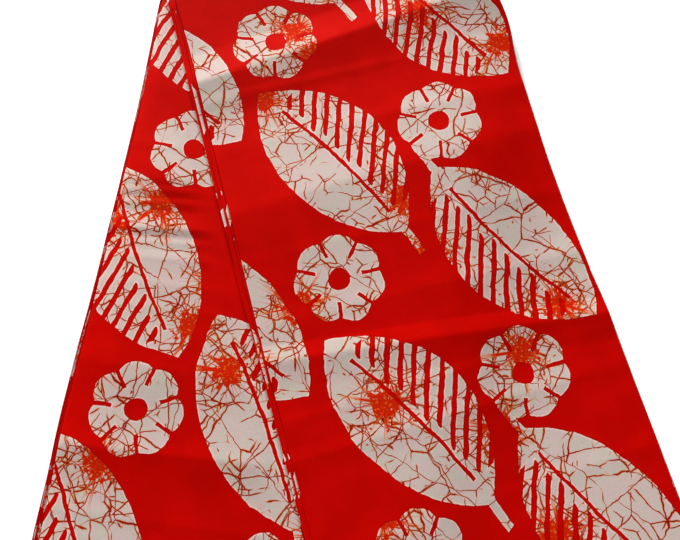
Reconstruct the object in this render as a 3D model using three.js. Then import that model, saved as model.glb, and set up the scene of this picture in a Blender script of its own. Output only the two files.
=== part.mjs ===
import * as THREE from 'three';

// Printed cotton, pleated lengthwise into a long narrow stack, turned over once at its middle and
// laid flat, so that its two legs fan out from the fold line. Millimetres, +Z up.

// The cloth: six yards long, 47 inches between its selvedges, in 18 pleats of equal width.
const CLOTH_LENGTH = 5486;
const CLOTH_WIDTH = 1194;
const PLEATS = 18;
const STRIP_WIDTH = CLOTH_LENGTH / PLEATS;

// The stack of pleats, and the one ply of it that shows on top of each leg.
const STACK_HEIGHT = 7.2;
const PANEL_WALL = 1.0;
const SEAM_GAP = 0.3;
const LAYERS_HEIGHT = STACK_HEIGHT - PANEL_WALL - SEAM_GAP;

// Each leg leans away from square to the fold line by the fan angle. The fold line runs along X, and
// its middle stands here, so that the origin is the middle of the footprint.
const FAN_ANGLE = THREE.MathUtils.degToRad(12.34);
const FOLD_MIDDLE = { x: 4.0, y: 302.2 };
const LEG_LENGTH = CLOTH_WIDTH / 2 - (Math.PI / 2) * (STACK_HEIGHT / 2);

// The turn at the fold line: a half roll whose axis lies between the two legs.
const FRONT_BED = STACK_HEIGHT + SEAM_GAP;
const TURN_AXIS_HEIGHT = STACK_HEIGHT + SEAM_GAP / 2;
const TURN_STEPS = 8;
const TURN_CORE = 0.5;

// The front leg slopes down from the rear leg to the floor beside it, over this width.
const STEP_WIDTH = 95;

// Turned edges of a panel: the radius of the turn, and how low the cloth hangs past it.
const LEFT_TURN = { radius: 1.6, hem: 5.0 };
const RIGHT_TURN = { radius: 3.0, hem: 1.5 };
const TURN_EDGE_STEPS = 3;

// Loose pleats that stand out at the left edge, from the top of the stack down. Reach is the share
// of the leg's loose width that each one stands out.
const LIP_GROOVE = 1.2;
const LIP_ROUNDING = 0.5;
const LIPS = [
  { top: 4.5, bottom: 3.3, reach: 0.36 },
  { top: 3.0, bottom: 1.8, reach: 0.7 },
  { top: 1.5, bottom: 0, reach: 1.0 },
];

// The two edges of each leg, as distances from its middle line, at places along the leg.
// Loose is how far the longest of its loose pleats stands out at the left.
const FRONT_EDGES = [
  { along: -33, left: -148.5, right: 153.0, loose: 7.6 },
  { along: 34, left: -147.0, right: 153.0, loose: 9.4 },
  { along: 62, left: -147.4, right: 159.5, loose: 9.2 },
  { along: 90, left: -148.0, right: 161.0, loose: 9.0 },
  { along: 133, left: -149.0, right: 155.0, loose: 8.2 },
  { along: 180, left: -149.8, right: 152.4, loose: 7.2 },
  { along: 240, left: -150.5, right: 149.8, loose: 7.8 },
  { along: 345, left: -152.5, right: 149.8, loose: 6.0 },
  { along: 380, left: -152.5, right: 151.4, loose: 6.0 },
  { along: 453, left: -153.0, right: 150.7, loose: 5.3 },
  { along: 592, left: -153.5, right: 149.8, loose: 6.4 },
];
const REAR_EDGES = [
  { along: -33, left: -158.5, right: 152.0, loose: 2.6 },
  { along: 36, left: -158.5, right: 152.0, loose: 2.6 },
  { along: 129, left: -154.7, right: 152.0, loose: 3.0 },
  { along: 213, left: -153.3, right: 152.0, loose: 3.2 },
  { along: 369, left: -153.3, right: 152.0, loose: 4.4 },
  { along: 441, left: -154.0, right: 152.0, loose: 4.8 },
  { along: 508, left: -151.9, right: 152.0, loose: 5.5 },
  { along: 556, left: -150.0, right: 152.0, loose: 7.5 },
  { along: 592, left: -149.0, right: 152.0, loose: 9.0 },
];

// Creases across each leg, as ridges: where the crest meets the left and the right edge, its height
// there, and how far its slopes run before it, on the side of the fold line, and after it.
const FRONT_RIDGES = [
  { left: -22, right: 44, leftHeight: 1.6, rightHeight: 1.6, before: 11, after: 46 },
  { left: 76, right: 50, leftHeight: 4.6, rightHeight: 4.6, before: 42, after: 62 },
  { left: 150, right: 158, leftHeight: 0.2, rightHeight: 0.7, before: 16, after: 26 },
  { left: 214, right: 204, leftHeight: 3.6, rightHeight: 2, before: 92, after: 120 },
  { left: 322, right: 330, leftHeight: 0.3, rightHeight: 0.6, before: 20, after: 22 },
  { left: 354, right: 391, leftHeight: 2, rightHeight: 2, before: 26, after: 26 },
  { left: 441, right: 437, leftHeight: 0.5, rightHeight: 0.4, before: 14, after: 18 },
  { left: 600, right: 612, leftHeight: 1.8, rightHeight: 1.8, before: 130, after: 60 },
];
const REAR_RIDGES = [
  { left: 118, right: 124, leftHeight: 0.8, rightHeight: 0.8, before: 30, after: 30 },
  { left: 218, right: 238, leftHeight: 2.6, rightHeight: 2.6, before: 80, after: 34 },
  { left: 254, right: 266, leftHeight: 0.7, rightHeight: 0.7, before: 10, after: 14 },
  { left: 302, right: 320, leftHeight: 1.2, rightHeight: 1.2, before: 34, after: 36 },
  { left: 404, right: 396, leftHeight: 0.5, rightHeight: 0.5, before: 22, after: 22 },
  { left: 478, right: 462, leftHeight: 1.7, rightHeight: 1.7, before: 44, after: 34 },
  { left: 600, right: 590, leftHeight: 1.2, rightHeight: 1.2, before: 70, after: 40 },
];
const CREST_ROUNDING = 5;
const SLOPE_POWER = 1.5;

// Under the front leg, and this close to it, the rear leg lies flat.
const REAR_FLAT_MARGIN = 26;
const REAR_FLAT_FADE = 26;

// How finely each leg is divided: rows this far apart, and closer about a ridge that is sharp, which
// is one whose height is more than this share of its run. The columns of the front leg's slope to the
// floor start and end within these shares of its width.
const FRONT_ROW_STEP = 19;
const REAR_ROW_STEP = 22;
const RIDGE_ROW_STEP = 7;
const SHARP_SLOPE = 0.05;
const STEP_SHARES = { first: 0.1, lastStart: 0.9, least: 0.04, last: 0.97 };
const FRONT_COLUMNS = { raised: 4, step: 6, floor: 3 };
const REAR_COLUMNS = 8;

const PRINT_RED = 0xc60a05;
const SHADED_RED = 0xa00602;

const sine = Math.sin(FAN_ANGLE);
const cosine = Math.cos(FAN_ANGLE);
const tangent = Math.tan(FAN_ANGLE);
const { lerp, clamp } = THREE.MathUtils;

// A value from one column of a table, on a smooth curve through its rows.
function tableValue(table, column, along) {
  const last = table.length - 1;
  if (along <= table[0].along) return table[0][column];
  if (along >= table[last].along) return table[last][column];
  const i = table.findIndex((row) => row.along > along) - 1;
  const slope = (k) => {
    const before = table[Math.max(k - 1, 0)];
    const after = table[Math.min(k + 1, last)];
    return (after[column] - before[column]) / (after.along - before.along);
  };
  const span = table[i + 1].along - table[i].along;
  const u = (along - table[i].along) / span;
  const startShare = (1 + 2 * u) * (1 - u) ** 2;
  const endShare = u * u * (3 - 2 * u);
  const bend = span * u * (1 - u) * (slope(i) * (1 - u) - slope(i + 1) * u);
  return table[i][column] * startShare + table[i + 1][column] * endShare + bend;
}

// A point of a leg's plan, from its place along and across that leg. Side is 1 for the front leg,
// which leans to the right, and -1 for the rear leg.
function planPoint(side, along, across) {
  return new THREE.Vector2(side * along * sine + across * cosine, side * across * sine - along * cosine);
}

function alongLeg(side, point) {
  return side * point.x * sine - point.y * cosine;
}

function acrossLeg(side, point) {
  return point.x * cosine + side * point.y * sine;
}

function rounded(distance) {
  return Math.hypot(distance, CREST_ROUNDING) - CREST_ROUNDING;
}

// The height that a leg's creases add at a point of its plan.
function ridgeHeight(leg, point) {
  const along = alongLeg(leg.side, point);
  const share = clamp(acrossLeg(leg.side, point) / STRIP_WIDTH + 0.5, 0, 1);
  let height = 0;
  for (const ridge of leg.ridges) {
    const away = along - lerp(ridge.left, ridge.right, share);
    const run = away < 0 ? ridge.before : ridge.after;
    const crest = lerp(ridge.leftHeight, ridge.rightHeight, share);
    height += crest * Math.max(0, 1 - rounded(away) / rounded(run)) ** SLOPE_POWER;
  }
  return height * leg.creased(point);
}

// How far a point lies outside the rear leg's right edge.
function pastRearLeg(point) {
  return acrossLeg(-1, point) - tableValue(REAR_EDGES, 'right', alongLeg(-1, point));
}

// The height of what the front leg lies on: the rear leg, then a soft slope down to the floor.
function frontBed(point) {
  const share = clamp(pastRearLeg(point) / STEP_WIDTH, 0, 1);
  return FRONT_BED * (1 - share * share * (3 - 2 * share));
}

// How much of its creases the rear leg keeps: none under the front leg.
function rearCreased(point) {
  const frontLeft = tableValue(FRONT_EDGES, 'left', alongLeg(1, point));
  const clear = frontLeft - acrossLeg(1, point) - REAR_FLAT_MARGIN;
  return clamp(clear / REAR_FLAT_FADE, 0, 1);
}

const FRONT_LEG = { side: 1, edges: FRONT_EDGES, ridges: FRONT_RIDGES, bed: frontBed, creased: () => 1 };
const REAR_LEG = { side: -1, edges: REAR_EDGES, ridges: REAR_RIDGES, bed: () => 0, creased: rearCreased };

// A row runs straight across a leg, from its left edge to its right edge. Rows turn little by little
// from the fold line to the leg's square end; share is 0 at the one and 1 at the other.
function legRow(leg, share, offset) {
  const start = (column) => leg.side * tangent * leg.edges[0][column] + offset;
  const leftAlong = lerp(start('left'), LEG_LENGTH, share);
  const rightAlong = lerp(start('right'), LEG_LENGTH, share);
  const left = planPoint(leg.side, leftAlong, tableValue(leg.edges, 'left', leftAlong));
  const right = planPoint(leg.side, rightAlong, tableValue(leg.edges, 'right', rightAlong));
  const loose = tableValue(leg.edges, 'loose', leftAlong);
  return { left, right, loose, direction: right.clone().sub(left).normalize() };
}

// The shares of a leg's length at which its rows lie.
function rowShares(leg, step) {
  const shares = [];
  let along = 0;
  while (along < LEG_LENGTH - RIDGE_ROW_STEP) {
    shares.push(along / LEG_LENGTH);
    const sharp = leg.ridges.some((ridge) => {
      const low = Math.min(ridge.left, ridge.right) - ridge.before / 2;
      const high = Math.max(ridge.left, ridge.right) + ridge.after / 2;
      return ridge.leftHeight / ridge.before > SHARP_SLOPE && along > low && along < high;
    });
    along += sharp ? RIDGE_ROW_STEP : step;
  }
  shares.push(1);
  return shares;
}

function evenShares(low, high, count) {
  return Array.from({ length: count }, (_, i) => lerp(low, high, i / count));
}

// The columns of a row of the front leg, which follow the rear leg's edge beneath it.
function frontColumns(row) {
  const past = [row.left, row.right].map(pastRearLeg);
  const shareAt = (distance) => (distance - past[0]) / (past[1] - past[0]);
  const stepTop = clamp(shareAt(0), STEP_SHARES.first, STEP_SHARES.lastStart);
  const stepFoot = clamp(shareAt(STEP_WIDTH), stepTop + STEP_SHARES.least, STEP_SHARES.last);
  const step = evenShares(stepTop, stepFoot, FRONT_COLUMNS.step);
  return {
    top: [
      ...evenShares(0, stepTop, FRONT_COLUMNS.raised).slice(1),
      ...step,
      ...evenShares(stepFoot, 1, FRONT_COLUMNS.floor),
    ],
    bottom: [...step, stepFoot],
  };
}

function rearColumns() {
  return { top: evenShares(0, 1, REAR_COLUMNS).slice(1), bottom: [] };
}

// Section points hold a share across the row, a distance that they stand out past that share towards
// the right, and a height in the stack.
function turnedEdge(turn, radius, side) {
  const points = [];
  for (let i = 0; i <= TURN_EDGE_STEPS; i++) {
    const angle = ((Math.PI / 2) * i) / TURN_EDGE_STEPS;
    const inward = turn.radius - radius * Math.cos(angle);
    const height = STACK_HEIGHT - turn.radius + radius * Math.sin(angle);
    points.push({ share: side < 0 ? 0 : 1, out: -side * inward, height });
  }
  return points;
}

function hemPoint(turn, radius, side) {
  return { share: side < 0 ? 0 : 1, out: -side * (turn.radius - radius), height: turn.hem };
}

// One face of a panel, from its left hem over the top to its right hem, at a depth under the surface.
function panelFace(columns, depth) {
  const leftRadius = LEFT_TURN.radius - depth;
  const rightRadius = RIGHT_TURN.radius - depth;
  return [
    hemPoint(LEFT_TURN, leftRadius, -1),
    ...turnedEdge(LEFT_TURN, leftRadius, -1),
    ...columns.top.map((share) => ({ share, out: 0, height: STACK_HEIGHT - depth })),
    ...turnedEdge(RIGHT_TURN, rightRadius, 1).reverse(),
    hemPoint(RIGHT_TURN, rightRadius, 1),
  ];
}

function panelSection(row, columns) {
  return [...panelFace(columns, 0), ...panelFace(columns, PANEL_WALL).reverse()];
}

// The left side of the hidden pleats, from the bottom up: lips parted by grooves.
function lipPoints(loose) {
  const points = [];
  for (const lip of [...LIPS].reverse()) {
    const reach = loose * lip.reach;
    points.push({ share: 0, out: LIP_ROUNDING - reach, height: lip.bottom });
    points.push({ share: 0, out: -reach, height: (lip.top + lip.bottom) / 2 });
    points.push({ share: 0, out: LIP_ROUNDING - reach, height: lip.top });
    points.push({ share: 0, out: LIP_GROOVE, height: lip.top + SEAM_GAP / 2 });
  }
  return points;
}

function layersSection(row, columns) {
  const depth = PANEL_WALL + SEAM_GAP;
  return [
    ...lipPoints(row.loose),
    ...turnedEdge(LEFT_TURN, LEFT_TURN.radius - depth, -1),
    ...columns.top.map((share) => ({ share, out: 0, height: LAYERS_HEIGHT })),
    ...turnedEdge(RIGHT_TURN, RIGHT_TURN.radius - depth, 1).reverse(),
    { share: 1, out: -depth, height: LIP_ROUNDING },
    { share: 1, out: -depth - LIP_ROUNDING, height: 0 },
    ...[...columns.bottom].reverse().map((share) => ({ share, out: 0, height: 0 })),
  ];
}

// Puts a section on a row of a leg. The stack stretches upwards where the leg is creased.
function placeOnLeg(leg, row, section) {
  return section.map(({ share, out, height }) => {
    const plan = row.left.clone().lerp(row.right, share).addScaledVector(row.direction, out);
    const stretch = 1 + ridgeHeight(leg, plan) / STACK_HEIGHT;
    return new THREE.Vector3(plan.x, plan.y, leg.bed(plan) + height * stretch);
  });
}

// Puts a section on the half roll of the turn, at an angle from -90 degrees, where it meets the rear
// leg's underside, to 90 degrees, where it meets the front leg's top.
function placeOnTurn(angle, section) {
  const share = angle / Math.PI + 0.5;
  const left = lerp(REAR_EDGES[0].left, FRONT_EDGES[0].left, share) / cosine;
  const right = lerp(REAR_EDGES[0].right, FRONT_EDGES[0].right, share) / cosine;
  return section.map((point) => {
    const radius = point.height + FRONT_BED - TURN_AXIS_HEIGHT;
    return new THREE.Vector3(
      lerp(left, right, point.share) + point.out,
      radius * Math.cos(angle),
      TURN_AXIS_HEIGHT + radius * Math.sin(angle),
    );
  });
}

function turnAngles() {
  return Array.from({ length: TURN_STEPS + 1 }, (_, i) => Math.PI * (i / TURN_STEPS - 0.5));
}

// A closed solid through rings of points, with both ends capped. Its faces are halved along the same
// slant above and below, so that a wall keeps its thickness and its gap where it is creased.
function loft(name, rings, section, color) {
  const count = section.length;
  const positions = rings.flat().flatMap((point) => [point.x, point.y, point.z]);
  const outline = section.map(({ share, out, height }) => {
    return new THREE.Vector2(share * STRIP_WIDTH + out, height);
  });
  const indices = [];
  for (let i = 0; i < count; i++) {
    const next = (i + 1) % count;
    const rightwards = outline[next].x >= outline[i].x;
    for (let start = 0; start + count < rings.length * count; start += count) {
      const here = start + i;
      const beside = start + next;
      const onward = here + count;
      const across = beside + count;
      if (rightwards) indices.push(here, onward, beside, beside, onward, across);
      else indices.push(here, onward, across, here, across, beside);
    }
  }
  const lastRing = (rings.length - 1) * count;
  for (const [a, b, c] of THREE.ShapeUtils.triangulateShape(outline, [])) {
    indices.push(a, c, b);
    indices.push(lastRing + a, lastRing + b, lastRing + c);
  }
  const geometry = new THREE.BufferGeometry();
  geometry.setAttribute('position', new THREE.Float32BufferAttribute(positions, 3));
  geometry.setIndex(indices);
  geometry.computeVertexNormals();
  const material = new THREE.MeshStandardMaterial({ color, roughness: 0.7, metalness: 0 });
  const mesh = new THREE.Mesh(geometry, material);
  mesh.name = name;
  return mesh;
}

function legRings(leg, rowStep, columnsOf, sectionOf, offset) {
  return rowShares(leg, rowStep).map((share) => {
    const row = legRow(leg, share, offset);
    return placeOnLeg(leg, row, sectionOf(row, columnsOf(row)));
  });
}

function firstSection(leg, columnsOf, sectionOf) {
  const row = legRow(leg, 0, 0);
  return sectionOf(row, columnsOf(row));
}

function legSolid(name, leg, rowStep, columnsOf, sectionOf, color) {
  const rings = legRings(leg, rowStep, columnsOf, sectionOf, SEAM_GAP);
  return loft(name, rings, firstSection(leg, columnsOf, sectionOf), color);
}

// The ply on top of the front leg, which also wraps the turn.
function frontPanel() {
  const section = firstSection(FRONT_LEG, frontColumns, panelSection);
  const turnRings = turnAngles().slice(0, -1).map((angle) => placeOnTurn(angle, section));
  const rings = legRings(FRONT_LEG, FRONT_ROW_STEP, frontColumns, panelSection, 0);
  return loft('front_panel', [...turnRings, ...rings], section, PRINT_RED);
}

// The hidden pleats where they turn over, around the narrow core of the fold.
function turnLayers() {
  const loose = (REAR_EDGES[0].loose + FRONT_EDGES[0].loose) / 2;
  const section = layersSection({ loose }, { top: [], bottom: [] });
  for (const point of section) point.height = Math.max(point.height, TURN_CORE);
  const rings = turnAngles().map((angle) => placeOnTurn(angle, section));
  return loft('turn_layers', rings, section, SHADED_RED);
}

const cloth = new THREE.Group();
cloth.add(legSolid('rear_layers', REAR_LEG, REAR_ROW_STEP, rearColumns, layersSection, SHADED_RED));
cloth.add(legSolid('rear_panel', REAR_LEG, REAR_ROW_STEP, rearColumns, panelSection, PRINT_RED));
cloth.add(turnLayers());
cloth.add(legSolid('front_layers', FRONT_LEG, FRONT_ROW_STEP, frontColumns, layersSection, SHADED_RED));
cloth.add(frontPanel());
cloth.position.set(FOLD_MIDDLE.x, FOLD_MIDDLE.y, 0);

export default cloth;
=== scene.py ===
import math
from collections import namedtuple

import bmesh
import bpy
from mathutils import Matrix, Vector, noise


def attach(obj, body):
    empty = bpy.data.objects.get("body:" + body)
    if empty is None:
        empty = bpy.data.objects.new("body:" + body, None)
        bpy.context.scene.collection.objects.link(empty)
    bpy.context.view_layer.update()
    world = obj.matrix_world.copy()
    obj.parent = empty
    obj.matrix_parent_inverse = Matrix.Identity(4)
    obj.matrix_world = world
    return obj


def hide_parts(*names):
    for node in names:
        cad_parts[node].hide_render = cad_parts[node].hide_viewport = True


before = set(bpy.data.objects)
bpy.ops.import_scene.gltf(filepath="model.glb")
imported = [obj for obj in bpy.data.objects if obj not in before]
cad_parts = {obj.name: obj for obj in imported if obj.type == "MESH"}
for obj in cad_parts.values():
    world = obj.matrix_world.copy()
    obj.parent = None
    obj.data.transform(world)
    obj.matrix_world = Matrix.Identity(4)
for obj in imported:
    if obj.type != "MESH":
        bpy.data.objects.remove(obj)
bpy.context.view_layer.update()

# Wax print cotton, pleated lengthwise into a stack, turned over once at its middle and laid flat with
# its two legs fanned out. Sizes are in millimetres, and MM turns them into metres where a piece is made.
MM = 0.001

# The cloth and its stack of pleats.
CLOTH_LENGTH = 5486
CLOTH_WIDTH = 1194
PLEATS = 18
STRIP_WIDTH = CLOTH_LENGTH / PLEATS
STACK_HEIGHT = 7.2
SEAM_GAP = 0.3
PANEL_DEPTH = 0.75
LAYERS_HEIGHT = STACK_HEIGHT - PANEL_DEPTH
CLOTH_THICKNESS = 0.26

# The two legs, and the fold line between them. Past the rear leg's right edge the front leg comes down
# to the ground, over the step's width.
FAN_ANGLE = math.radians(12.34)
FAN_SINE = math.sin(FAN_ANGLE)
FAN_COSINE = math.cos(FAN_ANGLE)
FAN_TANGENT = math.tan(FAN_ANGLE)
FOLD_MIDDLE = (4.0, 302.2)
LEG_LENGTH = CLOTH_WIDTH / 2 - (math.pi / 2) * (STACK_HEIGHT / 2)
FRONT_BED = STACK_HEIGHT + SEAM_GAP
TURN_AXIS_HEIGHT = STACK_HEIGHT + SEAM_GAP / 2
TURN_STEPS = 16
STEP_WIDTH = 95

# Each leg's edges, as distances from its middle line, at places along it. Loose is how far the
# longest loose pleat stands out at the left.
Edge = namedtuple("Edge", "along left right loose")
FRONT_EDGES = [
    Edge(-33, -148.5, 153.0, 7.6),
    Edge(34, -147.0, 153.0, 9.4),
    Edge(62, -147.4, 159.5, 9.2),
    Edge(90, -148.0, 161.0, 9.0),
    Edge(133, -149.0, 155.0, 8.2),
    Edge(180, -149.8, 152.4, 7.2),
    Edge(240, -150.5, 149.8, 7.8),
    Edge(345, -152.5, 149.8, 6.0),
    Edge(380, -152.5, 151.4, 6.0),
    Edge(453, -153.0, 150.7, 5.3),
    Edge(592, -153.5, 149.8, 6.4),
]
REAR_EDGES = [
    Edge(-33, -158.5, 152.0, 4.4),
    Edge(36, -158.5, 152.0, 4.8),
    Edge(129, -154.7, 152.0, 5.4),
    Edge(213, -153.3, 152.0, 5.6),
    Edge(369, -153.3, 152.0, 6.0),
    Edge(441, -154.0, 152.0, 6.2),
    Edge(508, -151.9, 152.0, 6.8),
    Edge(556, -150.0, 152.0, 8.2),
    Edge(592, -149.0, 152.0, 9.0),
]

# Creases across a leg, as ridges: where the crest meets each edge, its height there, how far its slopes
# run before it, towards the fold line, and after it, and how it rises: evenly at 1, and steeper near
# the crest above that. Past the crest every ridge falls away steeply and then fades.
Ridge = namedtuple("Ridge", "left right left_height right_height before after rise")
FRONT_RIDGES = [
    Ridge(-22, 44, 1.6, 1.6, 11, 46, 1.5),
    Ridge(76, 50, 3.6, 3.6, 32, 48, 1.2),
    Ridge(98, 104, 0.5, 0.1, 7, 12, 1),
    Ridge(150, 158, 0.2, 0.7, 16, 26, 1.5),
    Ridge(214, 204, 3.6, 2, 92, 120, 1.5),
    Ridge(262, 268, 0.1, 0.3, 10, 14, 1.2),
    Ridge(322, 330, 0.3, 0.6, 18, 22, 1.2),
    Ridge(354, 391, 1.35, 1.35, 15, 26, 1),
    Ridge(408, 402, 0.25, 0.1, 8, 12, 1.2),
    Ridge(441, 437, 0.5, 0.4, 12, 18, 1.1),
    Ridge(520, 508, 0.15, 0.3, 12, 16, 1.2),
    Ridge(600, 612, 1.8, 1.8, 130, 60, 1.5),
]
REAR_RIDGES = [
    Ridge(64, 58, 0.3, 0.3, 12, 16, 1.2),
    Ridge(118, 124, 0.8, 0.8, 30, 30, 1.5),
    Ridge(196, 188, 0.25, 0.15, 6, 8, 1),
    Ridge(232, 206, 2.2, 2.2, 84, 40, 1.5),
    Ridge(244, 216, 0.35, 0.35, 5, 7, 1),
    Ridge(256, 228, 0.35, 0.5, 5, 8, 1),
    Ridge(281, 250, 1.15, 1.3, 17, 11, 1.1),
    Ridge(294, 268, 0.4, 0.6, 6, 8, 1),
    Ridge(308, 290, 0.6, 1.1, 14, 20, 1.1),
    Ridge(330, 318, 0.5, 0.7, 20, 30, 1.2),
    Ridge(352, 344, 0.2, 0.3, 10, 14, 1.2),
    Ridge(404, 396, 0.5, 0.5, 20, 22, 1.2),
    Ridge(478, 462, 1.6, 1.6, 40, 34, 1.3),
    Ridge(530, 524, 0.2, 0.3, 10, 12, 1.2),
    Ridge(600, 590, 1.2, 1.2, 70, 40, 1.5),
]

# How far a crest is rounded, and the power by which every ridge falls away past it.
CREST_ROUNDING = 1.5
FALL = 1.5

# The rear leg swells a little beside the front leg: how high at places along it, and how far in from
# its left edge the swell's top lies, as a share of the width that shows. The swell ends a margin short
# of the front leg, where that leg's lips stand out.
REAR_SWELL = [(0, 0.0), (150, 2.1), (300, 3.0), (410, 3.0), (470, 0.7), (592, 0.3)]
SWELL_TOP = 0.36
LIP_MARGIN = 8

# The rear leg's creases die out beside the front leg, which presses it flat. They are gone at this
# margin from its left edge, and whole again a fade's width further out.
REAR_FLAT_MARGIN = 16
REAR_FLAT_FADE = 18

# Pleats that show at the left edges, from the top down: the share of the loose width that each fold
# stands out on the front and on the rear leg, and how much that share comes and goes along the leg.
Lip = namedtuple("Lip", "front rear sway")
LIPS = [
    Lip(0.34, 0.20, 0.08),
    Lip(0.68, 0.30, 0.08),
    Lip(1.00, 0.40, 0.07),
    Lip(0.84, 0.50, 0.08),
    Lip(0.90, 0.60, 0.05),
    Lip(0.70, 0.72, 0.05),
    Lip(0.80, 0.88, 0.08),
    Lip(0.62, 1.00, 0.10),
]
LIP_SWAY_LENGTH = 70

# Where the hidden pleats' left folds fall in the print: between the motifs, so they show mostly red.
HIDDEN_STEP = 330
HIDDEN_START = -58

# How far short of the longest ply each hidden ply ends at the end of a leg, from the top down. The rear
# leg takes them in another order, by a greater step. The drawing back starts a reach before the end.
PLY_ENDS = [0.6, 1.4, 0.2, 0.9, 1.9, 0.5, 1.1, 0.0, 1.6, 0.8, 2.2, 0.4, 1.2, 0.1, 1.7, 0.7, 1.0]
REAR_END_STEP = 7
PLY_END_REACH = 60

# The hidden pleats: how high above the surface the lowest ply lies, where the even part of a ply starts
# and ends across the strip, how far their right folds stay inside the top ply's hem, and how much, and
# in what step from ply to ply, those folds wander in and out.
LOWEST_PLY = 0.6 * CLOTH_THICKNESS
PLY_START, PLY_STOP = 0.03, 0.965
HEM_CLEARANCE = 0.5
FOLD_WANDER = 0.4
WANDER_STEP = 2.1
RIGHT_FOLD_STEPS = 4

# The loose left folds: how much wider than their height they are, how far round they go, and how far
# apart in the unevenness two of them are taken.
LIP_ROUNDNESS = 0.8
LIP_START, LIP_STOP = 110, 250
LIP_STEPS = 6
LIP_SEED_STEP = 3.7

# Folds of the top ply: the radius of its left fold and how far it returns under it, and the radius
# of its right edge, which hangs down through a middle height to the hem, drawn in a little.
LEFT_FOLD_RADIUS = 0.33
LEFT_RETURN = 12
RETURN_SHARES = (1.0, 0.55, 0.2)
RIGHT_FOLD_RADIUS = 3.0
HEM_HEIGHTS = (2.8, 1.5)
HEM_DRAW = 0.1
FOLD_ARC_STEPS = 8
SHARP_EDGE = math.radians(65)

# How finely the sheets are divided.
PANEL_COLUMN = 3.6
PANEL_ROW = 4.4
CREST_ROW = 1.5
CREST_REACH = 8
LAYER_ROW = 7.0
LAYER_COLUMNS = 12


def clamp(value, low=0.0, high=1.0):
    return max(low, min(high, value))


def lerp(start, end, share):
    return start + (end - start) * share


def eased(share):
    share = clamp(share)
    return share * share * (3 - 2 * share)


def rounded(distance):
    return math.hypot(distance, CREST_ROUNDING) - CREST_ROUNDING


def table_value(table, column, along):
    """A value from one column of a table, on a smooth curve through its rows."""
    rows = [(row.along, getattr(row, column)) for row in table]
    if along <= rows[0][0]:
        return rows[0][1]
    if along >= rows[-1][0]:
        return rows[-1][1]
    i = max(k for k, row in enumerate(rows) if row[0] <= along)

    def slope(k):
        before, after = rows[max(k - 1, 0)], rows[min(k + 1, len(rows) - 1)]
        return (after[1] - before[1]) / (after[0] - before[0])

    span = rows[i + 1][0] - rows[i][0]
    u = (along - rows[i][0]) / span
    start_share = (1 + 2 * u) * (1 - u) ** 2
    bend = span * u * (1 - u) * (slope(i) * (1 - u) - slope(i + 1) * u)
    return rows[i][1] * start_share + rows[i + 1][1] * u * u * (3 - 2 * u) + bend


def ridge_is_near(ridge, along):
    first, last = sorted((ridge.left, ridge.right))
    return first - CREST_REACH < along < last + CREST_REACH


class Leg:
    """One leg of the strip. Side is 1 for the front leg, which leans right, and -1 for the rear one."""

    def __init__(self, side, edges, ridges):
        self.side, self.edges, self.ridges = side, edges, ridges

    def plan(self, along, across):
        x = self.side * along * FAN_SINE + across * FAN_COSINE
        y = self.side * across * FAN_SINE - along * FAN_COSINE
        return Vector((x, y))

    def along(self, point):
        return self.side * point.x * FAN_SINE - point.y * FAN_COSINE

    def across(self, point):
        return point.x * FAN_COSINE + self.side * point.y * FAN_SINE

    def edge(self, column, along):
        return table_value(self.edges, column, along)

    def ridge_height(self, point):
        along = self.along(point)
        share = clamp(self.across(point) / STRIP_WIDTH + 0.5)
        height = 0.0
        for ridge in self.ridges:
            away = along - lerp(ridge.left, ridge.right, share)
            run, power = (ridge.before, ridge.rise) if away < 0 else (ridge.after, FALL)
            crest = lerp(ridge.left_height, ridge.right_height, share)
            height += crest * max(0.0, 1 - rounded(away) / rounded(run)) ** power
        return height * self.creased(point)

    def creased(self, point):
        """How much of its creases the leg keeps: the rear leg lies flat under the front one."""
        if self.side > 0:
            return 1.0
        clear = FRONT.edge("left", FRONT.along(point)) - FRONT.across(point) - REAR_FLAT_MARGIN
        return clamp(clear / REAR_FLAT_FADE)

    def bed(self, point):
        """The height of what the leg lies on: the front leg steps down beside the rear one."""
        if self.side < 0:
            return 0.0
        past = REAR.across(point) - REAR.edge("right", REAR.along(point))
        return FRONT_BED * (1 - eased(past / STEP_WIDTH))

    def row(self, share, offset):
        """A row straight across the leg; rows turn from the fold line to the leg's square end."""
        ends = []
        for column in ("left", "right"):
            start = self.side * FAN_TANGENT * getattr(self.edges[0], column) + offset
            along = lerp(start, LEG_LENGTH, share)
            ends.append((along, self.plan(along, self.edge(column, along))))
        (left_along, left), (_, right) = ends
        loose = self.edge("loose", left_along)
        return Row(left, right, (right - left).normalized(), left_along, loose, share)

    def row_shares(self, step, crest_step):
        """Where the rows lie, closer together over the crests."""
        shares, along = [], 0.0
        while along < LEG_LENGTH - crest_step:
            shares.append(along / LEG_LENGTH)
            near = any(ridge_is_near(ridge, along) for ridge in self.ridges)
            along += crest_step if near else step
        return shares + [1.0]


Row = namedtuple("Row", "left right direction along loose share")
FRONT = Leg(1, FRONT_EDGES, FRONT_RIDGES)
REAR = Leg(-1, REAR_EDGES, REAR_RIDGES)

# A point of a section across the stack: a share across the row, a distance out past it towards the
# right, a height in the stack, the ply's number, which gives the point its place in the print, and how
# much cloth a loose pleat takes up beyond the even edge.
Spot = namedtuple("Spot", "share out height ply slack", defaults=(0,))


def cloth_place(leg, spot, along):
    """Where a spot lies in the flat cloth: its way along the length, and across the width."""
    across = spot.share * STRIP_WIDTH + spot.out + spot.slack
    ply = spot.ply if leg.side > 0 else PLEATS + 1 - spot.ply
    hidden = spot.height < LAYERS_HEIGHT
    step, start = (HIDDEN_STEP, HIDDEN_START) if hidden else (STRIP_WIDTH, 0)
    if ply % 2:
        return start + ply * step - across, leg.side * along
    return start + (ply - 1) * step + across, leg.side * along


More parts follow.
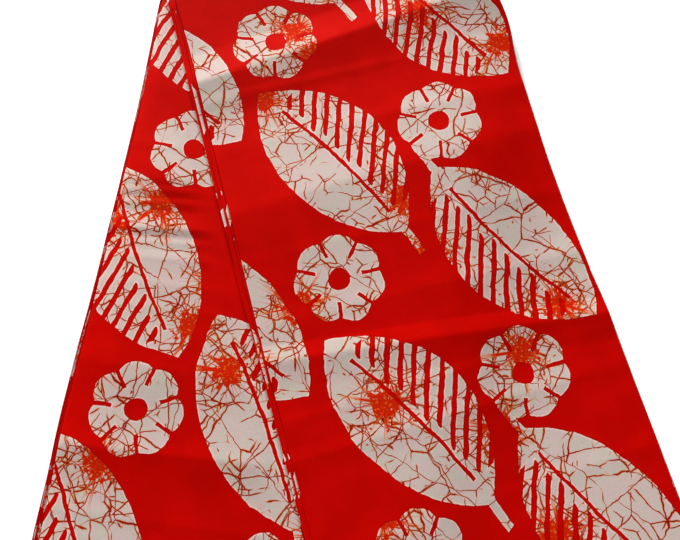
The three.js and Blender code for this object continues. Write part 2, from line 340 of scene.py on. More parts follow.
def ripple(point, size, seed):
    """A soft unevenness from -1 to 1, over about the given size."""
    return noise.noise(Vector((point.x / size, point.y / size, seed)))


def swell_height(leg, plan):
    """How much the rear leg swells between its left edge and the front leg."""
    if leg.side > 0:
        return 0.0
    along = leg.along(plan)
    inward = leg.across(plan) - leg.edge("left", along)
    clear = FRONT.edge("left", FRONT.along(plan)) - FRONT.across(plan) - LIP_MARGIN
    if clear <= 0 or inward <= 0:
        return 0.0
    height = REAR_SWELL[-1][1]
    for (start, low), (end, high) in zip(REAR_SWELL, REAR_SWELL[1:]):
        if along < end:
            height = lerp(low, high, eased((along - start) / (end - start)))
            break
    share = inward / (inward + clear)
    rise = share / SWELL_TOP if share < SWELL_TOP else (1 - share) / (1 - SWELL_TOP)
    return height * (1 - (1 - rise) ** 2)


def ply_end(leg, row, spot):
    """How far a hidden ply is drawn back towards the fold line near the end of its leg."""
    if spot.ply == 1 or spot.height > LAYERS_HEIGHT:
        return 0.0
    step = 1 if leg.side > 0 else REAR_END_STEP
    number = (spot.ply - 2) * step % len(PLY_ENDS)
    return PLY_ENDS[number] * clamp(1 - (1 - row.share) * LEG_LENGTH / PLY_END_REACH) ** 2


def on_leg(leg, row, spot):
    """A spot's place on a leg, in metres, and its place in the flat cloth."""
    plan = row.left.lerp(row.right, spot.share) + row.direction * spot.out
    in_cloth = cloth_place(leg, spot, leg.along(plan))
    plan += leg.plan(-ply_end(leg, row, spot), 0)
    stretch = 1 + (leg.ridge_height(plan) + swell_height(leg, plan)) / STACK_HEIGHT
    height = leg.bed(plan) + spot.height * stretch
    place = Vector((plan.x + FOLD_MIDDLE[0], plan.y + FOLD_MIDDLE[1], height)) * MM
    return place, in_cloth


def on_turn(angle, spot):
    """A spot's place on the half roll of the turn, and in the flat cloth."""
    share = angle / math.pi + 0.5
    left = lerp(REAR_EDGES[0].left, FRONT_EDGES[0].left, share) / FAN_COSINE
    right = lerp(REAR_EDGES[0].right, FRONT_EDGES[0].right, share) / FAN_COSINE
    radius = spot.height + FRONT_BED - TURN_AXIS_HEIGHT
    x = lerp(left, right, spot.share) + spot.out
    place = Vector((
        x + FOLD_MIDDLE[0],
        radius * math.cos(angle) + FOLD_MIDDLE[1],
        TURN_AXIS_HEIGHT + radius * math.sin(angle),
    )) * MM
    along = x * FAN_SINE + radius * (angle - math.pi / 2)
    return place, cloth_place(FRONT, spot, along)


def turn_angles():
    return [math.pi * (i / TURN_STEPS - 0.5) for i in range(TURN_STEPS + 1)]


def arc(centre_out, centre_height, radius, start, end, steps=FOLD_ARC_STEPS):
    """Points of an arc, as distances out and heights. Angles run from level right, anticlockwise."""
    points = []
    for i in range(steps + 1):
        angle = math.radians(lerp(start, end, i / steps))
        points.append((centre_out + radius * math.cos(angle), centre_height + radius * math.sin(angle)))
    return points


def panel_section(leg, row):
    """The top ply, from the end of its left return, over the top, to its right hem: alike in all rows."""
    ply = 1
    top = STACK_HEIGHT
    low = top - 2 * LEFT_FOLD_RADIUS
    spots = [Spot(0, LEFT_RETURN * share, low, ply + 1) for share in RETURN_SHARES]
    for out, height in arc(LEFT_FOLD_RADIUS, top - LEFT_FOLD_RADIUS, LEFT_FOLD_RADIUS, 270, 90):
        spots.append(Spot(0, out, height, ply))
    columns = round(STRIP_WIDTH / PANEL_COLUMN)
    for i in range(1, columns):
        spots.append(Spot(i / columns, 0, top, ply))
    right = arc(-RIGHT_FOLD_RADIUS, top - RIGHT_FOLD_RADIUS, RIGHT_FOLD_RADIUS, 90, 0)
    for out, height in right:
        spots.append(Spot(1, out, height, ply))
    for height in HEM_HEIGHTS:
        spots.append(Spot(1, -HEM_DRAW, height, ply))
    return spots


def layers_section(leg, row):
    """The pleats under the top ply, as one strip that runs to and fro from the top down."""
    count = PLEATS - 1
    pitch = (LAYERS_HEIGHT - LOWEST_PLY) / count
    shares = [lerp(PLY_START, PLY_STOP, k / (LAYER_COLUMNS - 1)) for k in range(LAYER_COLUMNS)]
    spots = []
    for i in range(count):
        ply = i + 2
        height = LAYERS_HEIGHT - (i + 0.5) * pitch
        middle = height - pitch / 2
        if ply % 2 == 0:
            spots += [Spot(share, 0, height, ply) for share in shares]
            if i < count - 1:
                out = -PANEL_DEPTH - HEM_CLEARANCE + FOLD_WANDER * math.sin(ply * WANDER_STEP)
                fold = arc(out, middle, pitch / 2, 90, -90, RIGHT_FOLD_STEPS)
                spots += [Spot(1, x, z, ply if z > middle else ply + 1) for x, z in fold]
        else:
            spots += [Spot(share, 0, height, ply) for share in reversed(shares)]
            lip = LIPS[(ply - 3) // 2]
            sway = ripple(Vector((row.along, 0)), LIP_SWAY_LENGTH, ply * LIP_SEED_STEP)
            reach = lip.front if leg.side > 0 else lip.rear
            out = -row.loose * (reach + 2 * lip.sway * sway)
            radius = pitch * LIP_ROUNDNESS
            fold = arc(out + radius, middle, radius, LIP_START, LIP_STOP, LIP_STEPS)
            spots += [Spot(0, x, z, ply if z > middle else ply + 1, -out) for x, z in fold]
    return spots


def cloth_sheet(name, stations):
    """A sheet of cloth through rows of points, each with its place in the print."""
    rows, columns = len(stations), len(stations[0])
    bm = bmesh.new()
    bmesh.ops.create_grid(bm, x_segments=columns - 1, y_segments=rows - 1, size=0.5)
    print_places = bm.loops.layers.uv.new("cloth")
    places = {}
    for vert in bm.verts:
        column = round((vert.co.x + 0.5) * (columns - 1))
        row = round((vert.co.y + 0.5) * (rows - 1))
        place, (along, across) = stations[row][column]
        places[vert] = (along * MM, across * MM)
        vert.co = place
    bmesh.ops.reverse_faces(bm, faces=bm.faces)
    for face in bm.faces:
        face.smooth = True
        for loop in face.loops:
            loop[print_places].uv = places[loop.vert]
    mesh = bpy.data.meshes.new(name)
    bm.to_mesh(mesh)
    bm.free()
    piece = bpy.data.objects.new(name, mesh)
    bpy.context.scene.collection.objects.link(piece)
    return piece


def thicken(piece, offset):
    """Gives a sheet the cloth's thickness: inwards at -1, or half to each side at 0, with sharp cut edges."""
    wall = piece.modifiers.new("wall", "SOLIDIFY")
    wall.thickness = CLOTH_THICKNESS * MM
    wall.offset = offset
    wall.use_even_offset = False
    bpy.context.view_layer.update()
    solid = piece.evaluated_get(bpy.context.evaluated_depsgraph_get())
    mesh = bpy.data.meshes.new_from_object(solid)
    piece.modifiers.clear()
    piece.data = mesh
    mesh.name = piece.name
    mesh.set_sharp_from_angle(angle=SHARP_EDGE)


def leg_stations(leg, section, step, crest_step, offset):
    stations = []
    for share in leg.row_shares(step, crest_step):
        row = leg.row(share, offset)
        stations.append([on_leg(leg, row, spot) for spot in section(leg, row)])
    return stations


def turn_stations(section, angles):
    loose = (REAR_EDGES[0].loose + FRONT_EDGES[0].loose) / 2
    row = Row(None, None, None, FRONT_EDGES[0].along, loose, 0)
    return [[on_turn(angle, spot) for spot in section(FRONT, row)] for angle in angles]


def make_front_panel():
    around = turn_stations(panel_section, turn_angles()[:-1])
    down = leg_stations(FRONT, panel_section, PANEL_ROW, CREST_ROW, 0)
    piece = cloth_sheet("front_ply", around + down)
    thicken(piece, -1)
    return piece


def make_rear_panel():
    piece = cloth_sheet("rear_ply", leg_stations(REAR, panel_section, PANEL_ROW, CREST_ROW, SEAM_GAP))
    thicken(piece, -1)
    return piece


def make_layers(name, leg):
    piece = cloth_sheet(name, leg_stations(leg, layers_section, LAYER_ROW, LAYER_ROW, SEAM_GAP))
    thicken(piece, 0)
    return piece


def make_turn_layers():
    piece = cloth_sheet("turn_pleats", turn_stations(layers_section, turn_angles()))
    thicken(piece, 0)
    return piece


class Signal:
    """A number that varies over the cloth, worked out by a material's nodes."""

    def __init__(self, tree, socket):
        self.tree, self.socket = tree, socket

    def math(self, operation, *others):
        node = self.tree.nodes.new("ShaderNodeMath")
        node.operation = operation
        for i, value in enumerate((self, *others)):
            feed(self.tree, value, node.inputs[i])
        return Signal(self.tree, node.outputs[0])

    def __add__(self, other):
        return self.math("ADD", other)

    def __sub__(self, other):
        return self.math("SUBTRACT", other)

    def __mul__(self, other):
        return self.math("MULTIPLY", other)

    def __truediv__(self, other):
        return self.math("DIVIDE", other)

    def __neg__(self):
        return self.math("MULTIPLY", -1.0)

    def __abs__(self):
        return self.math("ABSOLUTE")

    def __rsub__(self, other):
        return -self + other


def feed(tree, value, socket):
    if isinstance(value, Signal):
        tree.links.new(value.socket, socket)
    else:
        socket.default_value = value


def least(*values):
    found = values[0]
    for value in values[1:]:
        found = found.math("MINIMUM", value)
    return found


def most(*values):
    found = values[0]
    for value in values[1:]:
        found = found.math("MAXIMUM", value)
    return found


def wrapped(value, period):
    """The distance to the nearest repeat, from minus half a period to half a period."""
    return value.math("WRAP", period / 2, -period / 2)


def join(x, y, z=0.0):
    tree = x.tree
    node = tree.nodes.new("ShaderNodeCombineXYZ")
    for i, value in enumerate((x, y, z)):
        feed(tree, value, node.inputs[i])
    return node.outputs[0]


def split(tree, socket):
    node = tree.nodes.new("ShaderNodeSeparateXYZ")
    tree.links.new(socket, node.inputs[0])
    return [Signal(tree, output) for output in node.outputs]


def length(x, y):
    node = x.tree.nodes.new("ShaderNodeVectorMath")
    node.operation = "LENGTH"
    x.tree.links.new(join(x, y), node.inputs[0])
    return Signal(x.tree, node.outputs["Value"])


def step_between(value, low, high, soft=True):
    """0 below low and 1 above high, or the other way round where low is the greater."""
    node = value.tree.nodes.new("ShaderNodeMapRange")
    node.interpolation_type = "SMOOTHSTEP" if soft else "LINEAR"
    feed(value.tree, value, node.inputs["Value"])
    node.inputs["From Min"].default_value = min(low, high)
    node.inputs["From Max"].default_value = max(low, high)
    node.inputs["To Min"].default_value = 0.0 if low < high else 1.0
    node.inputs["To Max"].default_value = 1.0 if low < high else 0.0
    return Signal(value.tree, node.outputs["Result"])


def cloud(x, y, size, seed, detail=2.0):
    """Soft noise from 0 to 1, with patches of about the given size."""
    node = x.tree.nodes.new("ShaderNodeTexNoise")
    node.noise_dimensions = "3D"
    x.tree.links.new(join(x / size, y / size, seed), node.inputs["Vector"])
    node.inputs["Scale"].default_value = 1.0
    node.inputs["Detail"].default_value = detail
    return Signal(x.tree, node.outputs["Fac"]), node.outputs["Color"]


def wander(x, y, size, reach, seed):
    """Both coordinates, pushed about by up to the given reach."""
    _, colour = cloud(x, y, size, seed)
    push = split(x.tree, colour)
    return x + (push[0] - 0.5) * (2 * reach), y + (push[1] - 0.5) * (2 * reach)


def turned(x, y, degrees):
    angle = math.radians(degrees)
    return (
        x * math.cos(angle) + y * math.sin(angle),
        y * math.cos(angle) - x * math.sin(angle),
    )


# The print's repeat: two leaves that point opposite ways and two flowers, on a red ground.
REPEAT_ALONG = 264
REPEAT_ACROSS = 246
LEAF_TILT = 30
LEAF_PLACES = [(66, 61.5, 1), (198, 184.5, -1)]
FLOWER_PLACES = [(224, 52), (92, 175)]
LEAF_LENGTH = 196
LEAF_WIDTH = 104
LEAF_BEND = 7
FLOWER_RADIUS = 41
FLOWER_PETALS = 7
PETAL_NOTCH = 5
FLOWER_EYE = 10
SELVEDGE = 9

# A leaf's slits: their pitch, width and slope, how far from the rib they start and how much that comes
# and goes from slit to slit, and how far from the leaf's tips they stop.
SLIT_PITCH = 11.8
SLIT_WIDTH = 4.9
SLIT_SLOPE = 0.85
SLIT_START = 8
SLIT_START_SWAY = 2.5
SLIT_SWAY_STEP = 2.4
SLIT_TIP_MARGIN = 24

# A leaf's rib: its width, its length as a share of the leaf's, and how far it lies towards the stalk.
# Then the stalk, and how far it runs on into the blade.
RIB_WIDTH = 3.4
RIB_SHARE = 0.74
RIB_SHIFT = 2
STALK_WIDTH = 7
STALK_LENGTH = 24
STALK_OVERLAP = 16

# The cuts between a flower's petals: half their width, and the share of the radius where they start.
PETAL_GAP = 1.7
PETAL_GAP_START = 0.52

# The veins, as nets of cracks: how a net is turned, its cell size and how narrow its cells are, the
# half width of its lines, how much of it is missing away from the knots, and its seed.
Net = namedtuple("Net", "degrees size squeeze width missing seed")
CRACK_NETS = [
    Net(24, 82, 0.45, 0.52, 0.33, 11.0),
    Net(-52, 64, 0.42, 0.46, 0.36, 17.0),
    Net(78, 40, 0.55, 0.44, 0.41, 23.0),
    Net(-14, 26, 0.60, 0.40, 0.47, 29.0),
    Net(48, 13, 0.75, 0.36, 0.58, 37.0),
]

# How the veins wander, widely and finely, as sizes, reaches and seeds; how many more of them there are
# at a knot, how gently one fades out, how far outside its line a missing one is put, and how large the
# gaps in a net and the distances to its lines are against its cells.
VEIN_WANDER = [(26, 6.0, 4.0), (7, 1.3, 3.0)]
KNOT_NEARNESS = 0.22
VEIN_FADE = 0.12
VEIN_HIDING = 0.8
GAP_SCALE = 0.9
CELL_SCALE = 0.8

# A soft noise: the size of its patches, and its seed.
Noise = namedtuple("Noise", "size seed")

# A knot: how far apart two are, the grain and reach of its blot and how much of that is cut back, how
# its rays turn, spread and thin out, half the width they start with, and how near the veins gather.
KNOT_SPACING = 96
BLOT_NOISE = Noise(6, 31.0)
BLOT_REACH = 44
BLOT_CUT = 10
RAY_NOISE = Noise(0.22, 5.0)
RAY_VARIETY = 7.0
RAY_SPREAD = 1.2
RAY_THINNING = 0.042
RAY_HALF_WIDTH = 1.3
GATHER_FAR, GATHER_NEAR = 46, 16


def leaf(x, y):
    """Distance outside a leaf's shape: a plain half, a half cut into fingers, a rib and a stalk."""
    half_length, half_width = LEAF_LENGTH / 2, LEAF_WIDTH / 2
    radius = (half_length**2 + half_width**2) / (2 * half_width)
    x = x + (y * y) * (LEAF_BEND / half_length**2) - LEAF_BEND / 3
    blade = length(abs(x) + (radius - half_width), y) - radius
    stalk_middle = -half_length - (STALK_LENGTH - STALK_OVERLAP) / 2
    stalk_reach = (STALK_LENGTH + STALK_OVERLAP) / 2
    stalk = most(abs(x) - STALK_WIDTH / 2, abs(y - stalk_middle) - stalk_reach)
    slant = math.hypot(1, SLIT_SLOPE)
    rise = y - x * SLIT_SLOPE
    across_slit = abs(wrapped(rise, SLIT_PITCH * slant)) * (1 / slant)
    number = (rise * (1 / (SLIT_PITCH * slant)) + 0.5).math("FLOOR")
    slit_start = (number * SLIT_SWAY_STEP).math("SINE") * SLIT_START_SWAY + SLIT_START
    slit = length(most(slit_start - x, 0.0), across_slit)
    slit = most(slit, abs(y) - (half_length - SLIT_TIP_MARGIN))
    rib = most(abs(x) - RIB_WIDTH / 2, abs(y + RIB_SHIFT) - half_length * RIB_SHARE)
    return most(least(blade, stalk), SLIT_WIDTH / 2 - slit, -rib)


def flower(x, y):
    """Distance outside a flower's shape, with notched petals and an open eye."""
    away = length(x, y)
    angle = y.math("ARCTAN2", x)
    petal = abs((angle * (FLOWER_PETALS / 2)).math("COSINE"))
    rim = away - (petal * PETAL_NOTCH + (FLOWER_RADIUS - PETAL_NOTCH))
    eye = away - FLOWER_EYE
    turn = wrapped(angle + math.pi / FLOWER_PETALS, 2 * math.pi / FLOWER_PETALS)
    gap = abs(turn) * away - PETAL_GAP
    gap = most(gap, FLOWER_RADIUS * PETAL_GAP_START - away)
    return most(rim, -eye, -gap)


def motifs(u, v):
    """Distance outside the nearest motif of the print, in millimetres of flat cloth."""
    shapes = []
    for at_u, at_v, way in LEAF_PLACES:
        x, y = wrapped(u - at_u, REPEAT_ALONG), wrapped(v - at_v, REPEAT_ACROSS)
        shapes.append(leaf(*turned(x * way, y * way, LEAF_TILT)))
    for at_u, at_v in FLOWER_PLACES:
        x, y = wrapped(u - at_u, REPEAT_ALONG), wrapped(v - at_v, REPEAT_ACROSS)
        shapes.append(flower(x, y))
    selvedge = abs(v) - (CLOTH_WIDTH / 2 - SELVEDGE)
    return most(least(*shapes), selvedge)


def cracks(u, v, near):
    """Distance outside the veins that the cracked wax leaves, which gather near the knots."""
    for size, reach, seed in VEIN_WANDER:
        u, v = wander(u, v, size, reach, seed)
    lines = []
    for net in CRACK_NETS:
        x, y = turned(u, v, net.degrees)
        cells = u.tree.nodes.new("ShaderNodeTexVoronoi")
        cells.voronoi_dimensions = "2D"
        cells.feature = "DISTANCE_TO_EDGE"
        cells.inputs["Scale"].default_value = 1.0
        spot = join(x / net.size + net.seed, y / (net.size * net.squeeze))
        u.tree.links.new(spot, cells.inputs["Vector"])
        patch, _ = cloud(u, v, net.size * GAP_SCALE, net.seed)
        patch = patch + near * KNOT_NEARNESS
        shown = step_between(patch, net.missing, net.missing + VEIN_FADE)
        strength = shown * (net.width + VEIN_HIDING) - VEIN_HIDING
        lines.append(Signal(u.tree, cells.outputs["Distance"]) * (net.size * CELL_SCALE) - strength)
    return least(*lines)


def knots(u, v):
    """Distance outside the starbursts where cracks meet, and how near the next one is."""
    node = u.tree.nodes.new("ShaderNodeTexVoronoi")
    node.voronoi_dimensions = "2D"
    node.feature = "F1"
    node.inputs["Scale"].default_value = 1.0
    u.tree.links.new(join(u / KNOT_SPACING, v / KNOT_SPACING), node.inputs["Vector"])
    middle = split(u.tree, node.outputs["Position"])
    x, y = u / KNOT_SPACING - middle[0], v / KNOT_SPACING - middle[1]
    away = length(x, y) * KNOT_SPACING
    blot, _ = cloud(u, v, *BLOT_NOISE)
    blob = away - (blot * BLOT_REACH - BLOT_CUT)
    node = u.tree.nodes.new("ShaderNodeVectorMath")
    node.operation = "NORMALIZE"
    u.tree.links.new(join(x, y), node.inputs[0])
    heading = split(u.tree, node.outputs[0])
    ray_x, ray_y = heading[0] + middle[0] * RAY_VARIETY, heading[1] + middle[1] * RAY_VARIETY
    ray, _ = cloud(ray_x, ray_y, *RAY_NOISE, detail=0.0)
    rays = abs(ray - 0.5) * (away * RAY_SPREAD) + away * RAY_THINNING - RAY_HALF_WIDTH
    return least(blob, rays), step_between(away, GATHER_FAR, GATHER_NEAR)


def mixed(tree, amount, first, second):
    """One colour, turning into another by an amount from 0 to 1."""
    node = tree.nodes.new("ShaderNodeMix")
    node.data_type = "RGBA"
    feed(tree, amount, node.inputs["Factor"])
    sockets = [s for s in node.inputs if s.type == "RGBA"]
    for value, socket in ((first, sockets[0]), (second, sockets[1])):
        if isinstance(value, tuple):
            socket.default_value = (*value, 1.0)
        else:
            tree.links.new(value, socket)
    return [s for s in node.outputs if s.type == "RGBA"][0]


# Colours of the dyed and the undyed cotton.
RED_GROUND = (0.385, 0.0010, 0.0002)
DEEP_RED = (0.345, 0.0008, 0.0002)
OUTLINE_RED = (0.20, 0.0010, 0.0004)
OFF_WHITE = (0.415, 0.346, 0.314)
ROSE_WHITE = (0.430, 0.330, 0.314)
SAGE_WHITE = (0.392, 0.350, 0.300)
PALE_RIM = (0.64, 0.44, 0.38)
VEIN_BROWN = (0.19, 0.004, 0.001)
VEIN_OCHRE = (0.48, 0.110, 0.012)
KNOT_RED = (0.40, 0.010, 0.001)

# Bands of colour, by a distance in the print or a level of soft noise: where each starts, where it is
# full, and how strong it is there.
Band = namedtuple("Band", "start full strength", defaults=(1.0,))
ROSE_PATCHES = Band(0.38, 0.62)
SAGE_TINTS = Band(0.45, 0.70)
RED_PATCHES = Band(0.35, 0.65)
PRINT_EDGE = Band(0.15, -0.15)
RIM = Band(-1.4, -0.3, 0.75)
OUTLINE = Band(1.25, 0.3, 0.65)
VEIN_STAIN = Band(0.72, 0.12)
VEIN_CORE = Band(0.24, -0.08)
KNOT_STAIN = Band(0.9, -0.1, 0.7)
KNOT_CORE = Band(0.1, -0.3)
KNOT_HEART = Band(0.0, -1.0)
SPECKS = Band(0.57, 0.66, 0.75)
STAIN_UNEVENNESS = Band(0.35, 0.60, 0.5)
CORE_UNEVENNESS = Band(0.30, 0.55, 0.15)
FOLD_LINE = Band(0.7, 0.2)
FOLD_SHADOW = Band(0.9, 1.9)

# The cloth's unevenness: patches and tints of colour, specks in the knots, and the threads of the weft
# and the warp. A thread's noise runs on: a way along it counts for this share of a way across it.
PATCH_NOISE = Noise(34, 40.0)
TINT_NOISE = Noise(15, 41.0)
SPECK_NOISE = Noise(2.6, 47.0)
WEFT_NOISE = Noise(0.7, 42.0)
WARP_NOISE = Noise(0.7, 43.0)
THREAD_RUN = 0.06

# The levels between which most of a soft noise lies, the light that the darkest threads give back, and
# how much more the lightest ones do.
NOISE_LOW, NOISE_HIGH = 0.2, 0.8
THREAD_LIGHT = 0.92
THREAD_CONTRAST = 0.16

# The glaze: the least roughness, how much it varies, and the slight shine.
LEAST_ROUGHNESS = 0.56
ROUGHNESS_SPREAD = 0.12
GLAZE_SHINE = 0.01
GLAZE_TINT = (1.0, 0.72, 0.40, 1.0)

# The weave's pitch, and how deep it and the threads' unevenness are.
WEAVE_PITCH = 0.56
WEAVE_DEPTH = 0.02
THREAD_DEPTH = 0.05
WEAVE_STRENGTH = 0.6

# How the print's edges wander, widely and finely, as sizes, reaches and seeds.
PRINT_WANDER = [(24, 2.6, 1.0), (5, 0.7, 2.0)]

# How the cloth looks in one place: the share of light that it gives back, the dye's own at 1 and with
# painted shade below that, where its first left fold falls in the print and how far apart two are, how
# much lighter it is along the folds, partly worn and partly a painted highlight on the fold crests, and
# how much painted shade darkens it behind a fold, where a pleat goes in under the next one.
Look = namedtuple("Look", "name strength fold spacing wear shade")
OUTER_LOOK = Look("wax_print_cotton", 1.0, STRIP_WIDTH, 2 * STRIP_WIDTH, 0.30, 0.0)
PLEAT_LOOK = Look("pleated_cotton", 1.0, HIDDEN_START + HIDDEN_STEP, 2 * HIDDEN_STEP, 0.35, 0.40)
# The rear leg's hidden pleats: the same print, darkened overall as painted shade.
SHADED_PLEAT_LOOK = Look("shaded_pleated_cotton", 0.45, HIDDEN_START + HIDDEN_STEP, 2 * HIDDEN_STEP, 0.30, 0.35)


def banded(value, band):
    """How strongly a band shows, from 0 where it starts."""
    return step_between(value, band.start, band.full) * band.strength


def uneven(value, band):
    """A share that is 1 where a band is full, and less by the band's strength where it starts."""
    return banded(value, band) + (1 - band.strength)


def undyed_cotton(tree, outside, patch, tint):
    """Off-white in three soft tints, paler along the rims of the motifs."""
    white = mixed(tree, banded(patch, ROSE_PATCHES), OFF_WHITE, ROSE_WHITE)
    white = mixed(tree, banded(tint, SAGE_TINTS), white, SAGE_WHITE)
    return mixed(tree, banded(outside, RIM), white, PALE_RIM)


def crackled(tree, u, v, white, patch, tint):
    """The veins and knots over undyed cotton: ochre where the dye seeped in, and brown and red cores."""
    knot, near = knots(u, v)
    vein = cracks(u, v, near)
    white = mixed(tree, banded(vein, VEIN_STAIN) * uneven(tint, STAIN_UNEVENNESS), white, VEIN_OCHRE)
    white = mixed(tree, banded(vein, VEIN_CORE) * uneven(patch, CORE_UNEVENNESS), white, VEIN_BROWN)
    white = mixed(tree, banded(knot, KNOT_STAIN), white, VEIN_OCHRE)
    white = mixed(tree, banded(knot, KNOT_CORE), white, KNOT_RED)
    speck, _ = cloud(u, v, *SPECK_NOISE)
    return mixed(tree, banded(speck, SPECKS) * banded(knot, KNOT_HEART), white, VEIN_OCHRE)


def dyed_cotton(tree, outside, patch):
    """The red ground, with a darker line around each motif."""
    red = mixed(tree, banded(patch, RED_PATCHES), RED_GROUND, DEEP_RED)
    return mixed(tree, banded(outside, OUTLINE), red, OUTLINE_RED)


def light_share(u, threads, look):
    """Light the cloth gives back: more on threads, worn with a painted highlight on a fold, painted shade
    behind it.
    """
    share = step_between(threads, NOISE_LOW, NOISE_HIGH, soft=False)
    share = share * (THREAD_CONTRAST * look.strength) + THREAD_LIGHT * look.strength
    fold = abs(wrapped(u - look.fold, look.spacing))
    # Lighter along each fold: partly wear, partly a painted highlight on the fold's crest.
    share = share * (banded(fold, FOLD_LINE) * look.wear + 1.0)
    # Darker just behind each fold: painted shade where the pleat goes in under the next one.
    return share * (1.0 - banded(fold, FOLD_SHADOW) * look.shade)


def weave_height(u, v, threads):
    """The height of the plain weave, in millimetres."""
    turn = 2 * math.pi / WEAVE_PITCH
    weave = (u * turn).math("SINE") * (v * turn).math("SINE")
    return weave * WEAVE_DEPTH + threads * THREAD_DEPTH


def make_wax_print(look):
    """The printed cloth: red dye around off-white motifs, cracked by the wax, on a plain weave."""
    material = bpy.data.materials.new(look.name)
    material.use_nodes = True
    tree = material.node_tree
    shader = tree.nodes["Principled BSDF"]
    place = tree.nodes.new("ShaderNodeUVMap")
    place.uv_map = "cloth"
    u, v, _ = split(tree, place.outputs["UV"])
    u, v = u * (1 / MM), v * (1 / MM)
    cut_u, cut_v = u, v
    for size, reach, seed in PRINT_WANDER:
        cut_u, cut_v = wander(cut_u, cut_v, size, reach, seed)
    outside = motifs(cut_u, cut_v)
    patch, _ = cloud(u, v, *PATCH_NOISE)
    tint, _ = cloud(u, v, *TINT_NOISE)
    weft, _ = cloud(u, v * THREAD_RUN, *WEFT_NOISE)
    warp, _ = cloud(u * THREAD_RUN, v, *WARP_NOISE)
    threads = (weft + warp) * 0.5

    white = undyed_cotton(tree, outside, patch, tint)
    white = crackled(tree, u, v, white, patch, tint)
    red = dyed_cotton(tree, outside, patch)
    print_colour = mixed(tree, banded(outside, PRINT_EDGE), red, white)
    lit = tree.nodes.new("ShaderNodeVectorMath")
    lit.operation = "SCALE"
    tree.links.new(print_colour, lit.inputs[0])
    feed(tree, light_share(u, threads, look), lit.inputs["Scale"])
    tree.links.new(lit.outputs[0], shader.inputs["Base Color"])

    rough = step_between(patch, NOISE_LOW, NOISE_HIGH, soft=False) * ROUGHNESS_SPREAD + LEAST_ROUGHNESS
    feed(tree, rough, shader.inputs["Roughness"])
    shader.inputs["Specular IOR Level"].default_value = GLAZE_SHINE
    shader.inputs["Specular Tint"].default_value = GLAZE_TINT

    bump = tree.nodes.new("ShaderNodeBump")
    bump.inputs["Strength"].default_value = WEAVE_STRENGTH
    bump.inputs["Distance"].default_value = MM
    feed(tree, weave_height(u, v, threads), bump.inputs["Height"])
    tree.links.new(bump.outputs["Normal"], shader.inputs["Normal"])
    return material


# The floor, which reaches this many metres each way.
FLOOR_REACH = 4.0
FLOOR_COLOUR = (0.93, 0.93, 0.93, 1.0)
FLOOR_ROUGHNESS = 0.9
FLOOR_SHINE = 0.1


def make_floor():
    bm = bmesh.new()
    bmesh.ops.create_grid(bm, x_segments=1, y_segments=1, size=FLOOR_REACH)
    mesh = bpy.data.meshes.new("floor")
    bm.to_mesh(mesh)
    bm.free()
    floor = bpy.data.objects.new("floor", mesh)
    bpy.context.scene.collection.objects.link(floor)
    material = bpy.data.materials.new("pale_floor")
    material.use_nodes = True
    shader = material.node_tree.nodes["Principled BSDF"]
    shader.inputs["Base Color"].default_value = FLOOR_COLOUR
    shader.inputs["Roughness"].default_value = FLOOR_ROUGHNESS
    shader.inputs["Specular IOR Level"].default_value = FLOOR_SHINE
    mesh.materials.append(material)


# The camera looks down from the front of the legs, tipped from straight down and turned a little. Its
# place is measured from the fold line's middle, before the turn.
CAMERA_TIP = math.radians(16.86)
CAMERA_TURN = math.radians(3.60)
CAMERA_PLACE = (13.8, -517.2, 738.5)
CAMERA_LENS = 45
SENSOR_WIDTH = 36


def make_camera():
    data = bpy.data.cameras.new("camera")
    data.lens = CAMERA_LENS
    data.sensor_width = SENSOR_WIDTH
    camera = bpy.data.objects.new("camera", data)
    place = Matrix.Rotation(-CAMERA_TURN, 3, "Z") @ Vector(CAMERA_PLACE)
    camera.location = (place + Vector((*FOLD_MIDDLE, 0))) * MM
    camera.rotation_euler = (CAMERA_TIP, 0, -CAMERA_TURN)
    bpy.context.scene.collection.objects.link(camera)
    bpy.context.scene.camera = camera


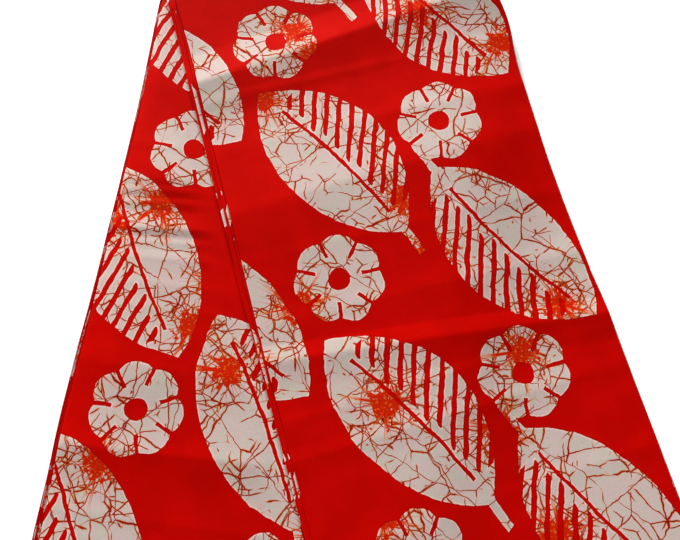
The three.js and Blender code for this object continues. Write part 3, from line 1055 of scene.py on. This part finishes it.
# The lights, in metres and watts: a wide low one far behind the fold line, a little to the left, and a
# faint one above the legs. Both face the middle of the cloth.
Light = namedtuple("Light", "name place width height power colour")
LIGHTS = [
    Light("key", (-1.18, 5.57, 1.90), 2.2, 1.1, 1410, (1.0, 0.99, 0.97)),
    Light("fill", (0.3, -0.6, 2.6), 1.8, 1.8, 6, (1.0, 1.0, 1.0)),
]
ROOM_LIGHT = 0.11


def make_area_light(light):
    data = bpy.data.lights.new(light.name, "AREA")
    data.shape = "RECTANGLE"
    data.size = light.width
    data.size_y = light.height
    data.energy = light.power
    data.color = light.colour
    lamp = bpy.data.objects.new(light.name, data)
    lamp.location = light.place
    lamp.rotation_euler = (-Vector(light.place)).to_track_quat("-Z", "Y").to_euler()
    bpy.context.scene.collection.objects.link(lamp)


def make_lights():
    for light in LIGHTS:
        make_area_light(light)
    world = bpy.data.worlds.new("studio")
    world.use_nodes = True
    sky = world.node_tree.nodes["Background"]
    sky.inputs["Color"].default_value = (1.0, 1.0, 1.0, 1.0)
    sky.inputs["Strength"].default_value = ROOM_LIGHT
    bpy.context.scene.world = world


make_camera()
make_lights()
make_floor()
bpy.context.scene.view_settings.view_transform = "Standard"

front_ply = make_front_panel()
rear_ply = make_rear_panel()
front_pleats = make_layers("front_pleats", FRONT)
rear_pleats = make_layers("rear_pleats", REAR)
turn_pleats = make_turn_layers()

wax_print = make_wax_print(OUTER_LOOK)
pleat_print = make_wax_print(PLEAT_LOOK)
# The rear leg's hidden pleats take the darker copy of the pleats' print: painted shade.
shaded_pleat_print = make_wax_print(SHADED_PLEAT_LOOK)
# Half a turn round the outside of the stack. Inside it the pleats' mean way round is half as long.
turn_length = math.pi * STACK_HEIGHT
ply_size = (STRIP_WIDTH * MM, LEG_LENGTH * MM)
pleats_size = (STRIP_WIDTH * (PLEATS - 1) * MM, LEG_LENGTH * MM)
for piece, node, slot, flat, material in (
    (front_ply, "front_panel", "print", (ply_size[0], ply_size[1] + turn_length * MM), wax_print),
    (rear_ply, "rear_panel", "print", ply_size, wax_print),
    (front_pleats, "front_layers", "layers", pleats_size, pleat_print),
    (rear_pleats, "rear_layers", "layers", pleats_size, shaded_pleat_print),
    (turn_pleats, "turn_layers", "layers", (pleats_size[0], turn_length * MM / 2), pleat_print),
):
    piece.data.materials.append(material)
    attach(piece, "root")
    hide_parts(node)
